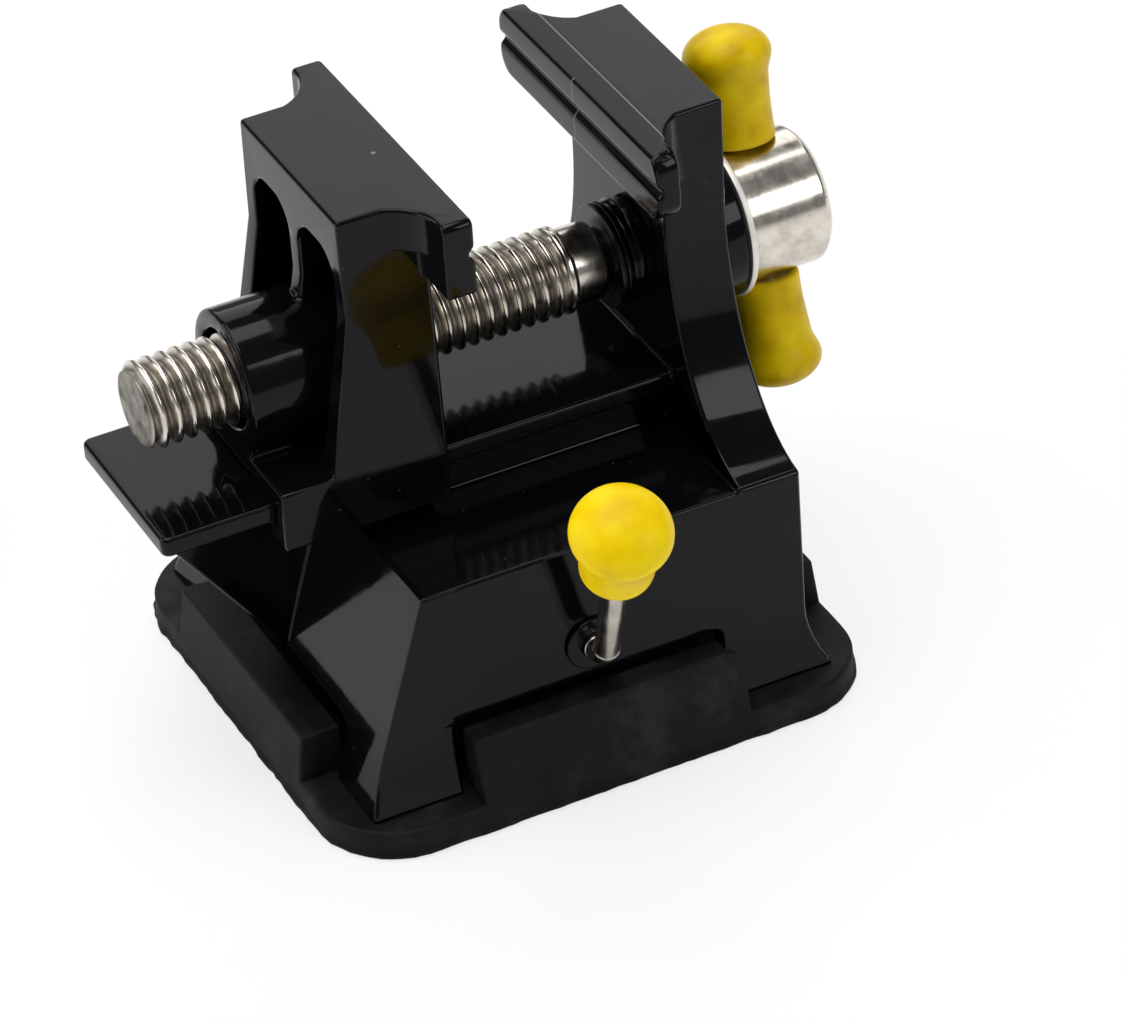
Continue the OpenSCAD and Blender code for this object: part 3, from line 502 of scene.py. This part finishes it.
def dipped_cap_profile(length, mouth, neck, head, neck_end, head_at):
    """Outline of a dipped cap: rolled mouth, slightly waisted neck, swelling head and dome. Mouth, neck
    and head are radii; neck_end and head_at are the heights where the head starts and is full."""
    lip = 0.35
    waist = 0.10
    steps = 16
    # The skin starts inside the mouth and rolls out over its lip
    points = [(mouth - 1.2, 0.25), (mouth - 0.8, 0.0), (mouth - lip, 0.0)]
    points += arc((mouth - lip, lip), lip, -90, 0, 5)[1:]
    for k in range(1, steps + 1):
        t = k / steps
        radius = mouth + (neck - mouth) * t - waist * math.sin(math.pi * t)
        points.append((radius, lip + (neck_end - lip) * t))
    for k in range(1, steps + 1):
        t = k / steps
        points.append((neck + (head - neck) * ease(t), neck_end + (head_at - neck_end) * t))
    for k in range(1, steps + 1):
        angle = math.pi / 2 * k / steps
        radius = max(head * math.cos(angle) ** 0.92, 0.02)
        points.append((radius, head_at + (length - head_at) * math.sin(angle)))
    return points


def slow_wobble(seed, size):
    """A small lopsidedness, as no two dips come out alike. The seed gives each piece its own."""
    shift = Vector((seed * 3.7, seed * 1.9, seed))

    def wobble(angle, height):
        spot = Vector((math.cos(angle) * 0.9, math.sin(angle) * 0.9, height * 0.22))
        return size * noise.noise(spot + shift)

    return wobble


def bar_frame(side):
    """Frame of the cross bar's line, +Z outwards on the given side."""
    turn = Matrix.Rotation(-BAR_LEAN, 4, "X")
    if side < 0:
        turn = turn @ Matrix.Rotation(math.pi, 4, "X")
    return Matrix.Translation((BAR_PLACE, 0, SCREW_HEIGHT)) @ turn


for side, name, node_name in (
    (1, "upper_dipped_cap", "upper_bar_cap"),
    (-1, "lower_dipped_cap", "lower_bar_cap"),
):
    profile = dipped_cap_profile(length=11.75, mouth=3.5, neck=3.75, head=4.42, neck_end=6.5, head_at=9.0)
    place = bar_frame(side) @ Matrix.Translation((0, 0, CAP_SEAT))
    mesh = lathe(name, profile, place, wobble=slow_wobble(side + 3, 0.06))
    piece(name, mesh, "screw", SHADED_YELLOW, (node_name,))

lever_frame = (
    Matrix.Translation(LEVER_SHAFT)
    @ Matrix.Rotation(LEVER_SWING, 4, "Y")
    @ Matrix.Translation((0, LEVER_CORNER, 0))
    @ Matrix.Rotation(LEVER_LEAN, 4, "X")
)
knob_profile = dipped_cap_profile(length=10.2, mouth=3.65, neck=3.9, head=4.97, neck_end=4.4, head_at=6.9)
knob_place = lever_frame @ Matrix.Translation((0, 0, KNOB_SEAT))
knob_mesh = lathe("dipped_knob", knob_profile, knob_place, wobble=slow_wobble(7, 0.05))
piece("dipped_knob", knob_mesh, "lever", YELLOW, ("lever_knob",))


# The lead screw


def thread_depth_at(turn):
    """Share of the thread's depth at a place in one pitch: rounded crest, sloping flanks, rounded root."""
    half_crest = 0.12
    flank = 0.72
    from_crest = abs((turn % 1.0) - 0.5) * 2
    share = min(max((from_crest - half_crest) / flank, 0.0), 1.0)
    return ease(share) * 0.5 + share * 0.5


def thread_radii(x, segments):
    """Radii round the screw at one place of its thread, which has a chamfer at its start and runs out
    at its end."""
    run_out = 1.2
    depth = THREAD_RADIUS - THREAD_ROOT
    chamfer = THREAD_ROOT + x - SCREW_FREE_END
    fade = max(min(1.0, (THREAD_END - x) / run_out), 0.0)
    radii = []
    for k in range(segments):
        cut = depth * thread_depth_at(x / PITCH - k / segments) * fade
        radii.append(min(THREAD_RADIUS - cut, chamfer))
    return radii


def screw_ring(x, radii):
    """One ring of the screw, from the radii at even steps round it."""
    ring = []
    for k, radius in enumerate(radii):
        angle = 2 * math.pi * k / len(radii)
        ring.append(Vector((x, radius * math.cos(angle), SCREW_HEIGHT + radius * math.sin(angle))) * MM)
    return ring


def lead_screw_mesh(segments=72, per_pitch=14):
    """The lead screw from its free end to the end of its neck. The thread is a true right-hand helix."""
    end_face = [
        (SCREW_FREE_END + 0.02, 0.4),
        (SCREW_FREE_END, 3.0),
        (SCREW_FREE_END, 3.55),
    ]
    shank_and_neck = [
        (THREAD_END + 0.15, THREAD_RADIUS - 0.05),
        (THREAD_END + 0.35, SHANK_RADIUS + 0.07),
        (THREAD_END + 0.6, SHANK_RADIUS),
        (SHANK_END - 0.4, SHANK_RADIUS),
        (SHANK_END - 0.12, SHANK_RADIUS - 0.12),
        (SHANK_END, SHANK_RADIUS - 0.38),
        (SHANK_END + 0.02, NECK_RADIUS + 0.05),
        (SHANK_END + 0.1, NECK_RADIUS),
        (GROOVE_PLACE, NECK_RADIUS),
        (GROOVE_PLACE + 0.02, GROOVE_RADIUS),
        (GROOVE_PLACE + GROOVE_WIDTH - 0.02, GROOVE_RADIUS),
        (GROOVE_PLACE + GROOVE_WIDTH, NECK_RADIUS),
        (NECK_END - 0.3, NECK_RADIUS),
        (NECK_END, NECK_RADIUS - 0.3),
    ]
    step = PITCH / per_pitch
    count = round((THREAD_END - SCREW_FREE_END) / step)
    places = [SCREW_FREE_END + i * step for i in range(count + 1)]
    rows = [screw_ring(x, [radius] * segments) for x, radius in end_face]
    rows += [screw_ring(x, thread_radii(x, segments)) for x in places]
    rows += [screw_ring(x, [radius] * segments) for x, radius in shank_and_neck]
    return grid_mesh("threaded_screw", rows)


thread_finish = nickel_plated_steel("nickel_plated_thread", threaded=True)
piece("threaded_screw", lead_screw_mesh(), "screw", thread_finish, ("lead_screw",))


# The rubber pad


def pad_outline(inset, ragged, count=260):
    """Even points along the pad's rounded outline, drawn in by an inset, with flash that frays
    in and out by up to the ragged measure."""
    half_x, half_y = PAD_LENGTH / 2 - inset, PAD_WIDTH / 2 - inset
    corner = PAD_CORNER - inset
    outline = []
    for quarter, (side_x, side_y) in enumerate(((1, 1), (-1, 1), (-1, -1), (1, -1))):
        centre = (side_x * (half_x - corner), side_y * (half_y - corner))
        outline += arc(centre, corner, quarter * 90, quarter * 90 + 90, 24)
    walk = [0.0]
    for a, b in zip(outline, outline[1:] + outline[:1]):
        walk.append(walk[-1] + math.dist(a, b))
    points = []
    for k in range(count):
        target = walk[-1] * k / count
        i = max(j for j in range(len(outline)) if walk[j] <= target)
        a, b = outline[i], outline[(i + 1) % len(outline)]
        t = (target - walk[i]) / (walk[i + 1] - walk[i])
        point = Vector((a[0] + (b[0] - a[0]) * t, a[1] + (b[1] - a[1]) * t, 0))
        outwards = Vector((b[1] - a[1], a[0] - b[0], 0)).normalized()
        broad = noise.noise(Vector((point.x * 0.45, point.y * 0.45, 1.0)))
        narrow = noise.noise(Vector((point.x * 1.7, point.y * 1.7, 5.0)))
        fray = min(max(broad + 0.6 * narrow, -1.0), 1.0)
        points.append(point + outwards * ragged * fray)
    return points


def oblong(left, right, top):
    """An upright oblong that stands at the height of the lugs' foot."""
    return [(left, LUG_FOOT), (right, LUG_FOOT), (right, top), (left, top)]


def rubber_block(outline, outer, lean, inner, rounding, turn):
    """A rubber block for the pad's mesh. Its outline is seen from outside. Outer is the place of its outer
    face at the foot, which leans in with height; inner is the place of its inner face, whose edges
    stay sharp, while all others are rounded."""
    made = bmesh.new()
    front = [made.verts.new(turn @ Vector((a, outer + (z - LUG_FOOT) * lean, z)) * MM) for a, z in outline]
    back = [made.verts.new(turn @ Vector((a, inner, z)) * MM) for a, z in outline]
    made.faces.new(front)
    made.faces.new(back[::-1])
    for k in range(len(outline)):
        m = (k + 1) % len(outline)
        made.faces.new((front[m], front[k], back[k], back[m]))
    bmesh.ops.recalc_face_normals(made, faces=made.faces)
    inner_edges = [e for e in made.edges if all(v in back for v in e.verts)]
    corner = math.radians(35)
    sharp = [e for e in made.edges if e.calc_face_angle(0) > corner and e not in inner_edges]
    for e in inner_edges:
        e.smooth = False
    bmesh.ops.bevel(made, geom=sharp, offset=rounding * MM, segments=3, profile=0.5, affect="EDGES")
    return made


def suction_pad_mesh():
    """The rim the base stands on: flash at its parting line, a rounded shoulder, and in each notch of the
    base a lug with a tongue behind it."""
    outside = [  # inset, ragged and height, from the underside up
        (0.42, 0.10, 0.0),
        (0.20, 0.20, 0.2),
        (0.22, 0.20, 0.55),
        (0.42, 0.08, 0.8),
        (0.45, 0.04, 2.5),
        (0.62, 0.03, PAD_THICKNESS - 0.15),
        (1.00, 0.02, PAD_THICKNESS),
    ]
    opening = [  # radius and height, from the top down
        (20.1, PAD_THICKNESS),
        (19.95, PAD_THICKNESS - 0.15),
        (19.95, 0.2),
        (20.2, 0.0),
    ]
    rows = []
    for inset, ragged, height in outside:
        rows.append([(p + Vector((0, 0, height))) * MM for p in pad_outline(inset, ragged)])
    angles = [math.atan2(p.y, p.x) for p in rows[0]]
    for radius, height in opening:
        rows.append([Vector((radius * math.cos(a), radius * math.sin(a), height)) * MM for a in angles])
    mesh = grid_mesh("rubber_pad", rows, tube=True)
    whole = bmesh.new()
    whole.from_mesh(mesh)

    side_lug = [(-14.75, LUG_FOOT), (14.35, LUG_FOOT)] + arc((12.55, 7.9), 1.8, 0, 90, 5) + [(-14.75, 9.7)]
    side_blocks = [  # outline, outer, lean, inner and rounding
        (side_lug, -27.57, 0.27, -24.9, 0.3),
        (oblong(-14.6, 13.1, 9.6), -25.2, 0.0, -22.75, 0.25),
    ]
    end_blocks = [
        (oblong(-14.5, 14.5, 8.2), -28.95, 0.13, -26.3, 0.35),
        (oblong(-14.4, 14.4, 8.1), -27.0, 0.0, -24.15, 0.25),
    ]
    front = Matrix.Identity(4)
    back = Matrix.Scale(-1, 4, (0, 1, 0))
    left = Matrix.Rotation(math.radians(-90), 4, "Z")
    right = Matrix.Rotation(math.radians(90), 4, "Z")
    notches = ((front, side_blocks), (back, side_blocks), (left, end_blocks), (right, end_blocks))
    for turn, blocks in notches:
        for measures in blocks:
            block = rubber_block(*measures, turn)
            part = bpy.data.meshes.new("lug")
            block.to_mesh(part)
            block.free()
            whole.from_mesh(part)
    bmesh.ops.recalc_face_normals(whole, faces=whole.faces)
    whole.to_mesh(mesh)
    whole.free()
    return mesh


pad = piece("rubber_pad", suction_pad_mesh(), "base", RUBBER, ("suction_pad",))
modify(pad, "normals", "WEIGHTED_NORMAL", keep_sharp=True, weight=50)


# The diaphragm in the pad's opening


def diaphragm_mesh():
    """The pad's flexing centre: a thin disc, dished underneath, with a sealing bead and a thick middle."""
    profile = [
        (0.05, 0.6),
        (5.0, 0.6),
        (12.0, 0.5),
        (17.0, 0.3),
        (18.2, 0.05),
        (18.8, 0.0),
        (19.5, 0.02),
        (19.75, 0.3),
        (19.78, 1.3),
        (19.6, 1.58),
        (12.0, 1.58),
        (7.4, 1.62),
        (6.7, 1.9),
        (6.55, 3.1),
        (6.35, 3.28),
        (0.05, 3.28),
    ]
    return lathe("rubber_diaphragm", profile, Matrix.Identity(4), segments=96)


diaphragm = show("rubber_diaphragm", diaphragm_mesh(), RUBBER)
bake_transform(diaphragm)
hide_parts("suction_diaphragm")


# Camera, lamps, floor and room


def solved_camera():
    """The camera as solved from the photo's edges: place in millimetres, focal length in pixels."""
    eye = Vector((-199.62, -461.44, 372.35)) * MM
    forward = Vector((0.33417, 0.74373, -0.57896)).normalized()
    right = Vector((0.89224, -0.44758, -0.05985)).normalized()
    right = (right - forward * right.dot(forward)).normalized()
    up = right.cross(forward)
    focal_length = 6196.12
    photo_width = 1123
    data = bpy.data.cameras.new("camera")
    data.sensor_fit = "HORIZONTAL"
    data.sensor_width = 36.0
    data.lens = focal_length / photo_width * data.sensor_width
    data.clip_start = 0.05
    data.clip_end = 20.0
    camera = show("camera", data)
    camera.matrix_world = Matrix(
        (
            (right.x, up.x, -forward.x, eye.x),
            (right.y, up.y, -forward.y, eye.y),
            (right.z, up.z, -forward.z, eye.z),
            (0, 0, 0, 1),
        )
    )
    return camera


def softbox(name, place, size, power):
    """A lamp behind a diffuser, with its place and size in metres, that looks at the vise's middle."""
    data = bpy.data.lights.new(name, "AREA")
    data.shape = "RECTANGLE"
    data.size, data.size_y = size
    data.energy = power
    lamp = show(name, data)
    lamp.location = place
    aim = Vector((0, 0, 0.03))
    lamp.rotation_euler = (aim - Vector(place)).to_track_quat("-Z", "Y").to_euler()


def sweep_material():
    """White paper sweep: matt, and nearly white to the camera, so that only the soft shadow shows on it."""
    settings = {"Roughness": 0.9, "Specular IOR Level": 0.1}
    material, tree, surface, place = new_material("white_paper_sweep", settings)
    fibre = add(tree, "TexNoise", blotches(40.0), Vector=place)
    paper = add(tree, "ValToRGB", {"stops": [(0.3, "#f1f1f1"), (0.7, "#f4f4f4")]}, Fac=fibre)
    link(tree, surface, Base_Color=paper)
    glow = add(tree, "Emission", {"Color": rgb("#ffffff"), "Strength": 1.0})
    path = add(tree, "LightPath").outputs
    seen = add(tree, "Math", MAXIMUM, i0=path["Is Camera Ray"], i1=path["Is Transmission Ray"])
    whiteness = 0.7
    share = add(tree, "Math", {"operation": "MULTIPLY", 1: whiteness}, i0=seen)
    mixed = add(tree, "MixShader", None, i0=share, i1=surface, i2=glow)
    link(tree, tree.get_output_node("ALL"), Surface=mixed)
    return material


def paper_sweep():
    """A large sheet, laid just under the vise so that the two don't fight for the same plane."""
    reach = 6.0
    level = -0.00005
    mesh = bpy.data.meshes.new("sweep")
    sides = ((-1, -1), (1, -1), (1, 1), (-1, 1))
    mesh.from_pydata([(x * reach, y * reach, level) for x, y in sides], [], [(0, 1, 2, 3)])
    return show("sweep", mesh, sweep_material())


def studio_world():
    """A dim, cool room that lights the vise, where the camera sees white."""
    world = bpy.data.worlds.new("studio")
    world.use_nodes = True
    tree = world.node_tree
    tree.nodes.clear()
    ambient = add(tree, "Background", {"Color": rgb("#eef0f3"), "Strength": 0.25})
    backdrop = add(tree, "Background", {"Color": rgb("#ffffff"), "Strength": 1.0})
    seen = add(tree, "LightPath").outputs["Is Camera Ray"]
    mixed = add(tree, "MixShader", None, i0=seen, i1=ambient, i2=backdrop)
    add(tree, "OutputWorld", None, Surface=mixed)
    return world


softbox("back_softbox", place=(0.38, 0.95, 0.72), size=(1.5, 0.75), power=5.4)
softbox("left_softbox", place=(-0.95, 0.35, 0.45), size=(0.9, 0.6), power=4.4)
softbox("top_softbox", place=(-0.10, 0.10, 1.20), size=(1.1, 0.9), power=11.0)
softbox("front_softbox", place=(0.60, -0.90, 0.70), size=(0.5, 0.5), power=3.3)

floor = paper_sweep()

scene = bpy.context.scene
scene.camera = solved_camera()
scene.world = studio_world()
scene.view_settings.view_transform = "Standard"
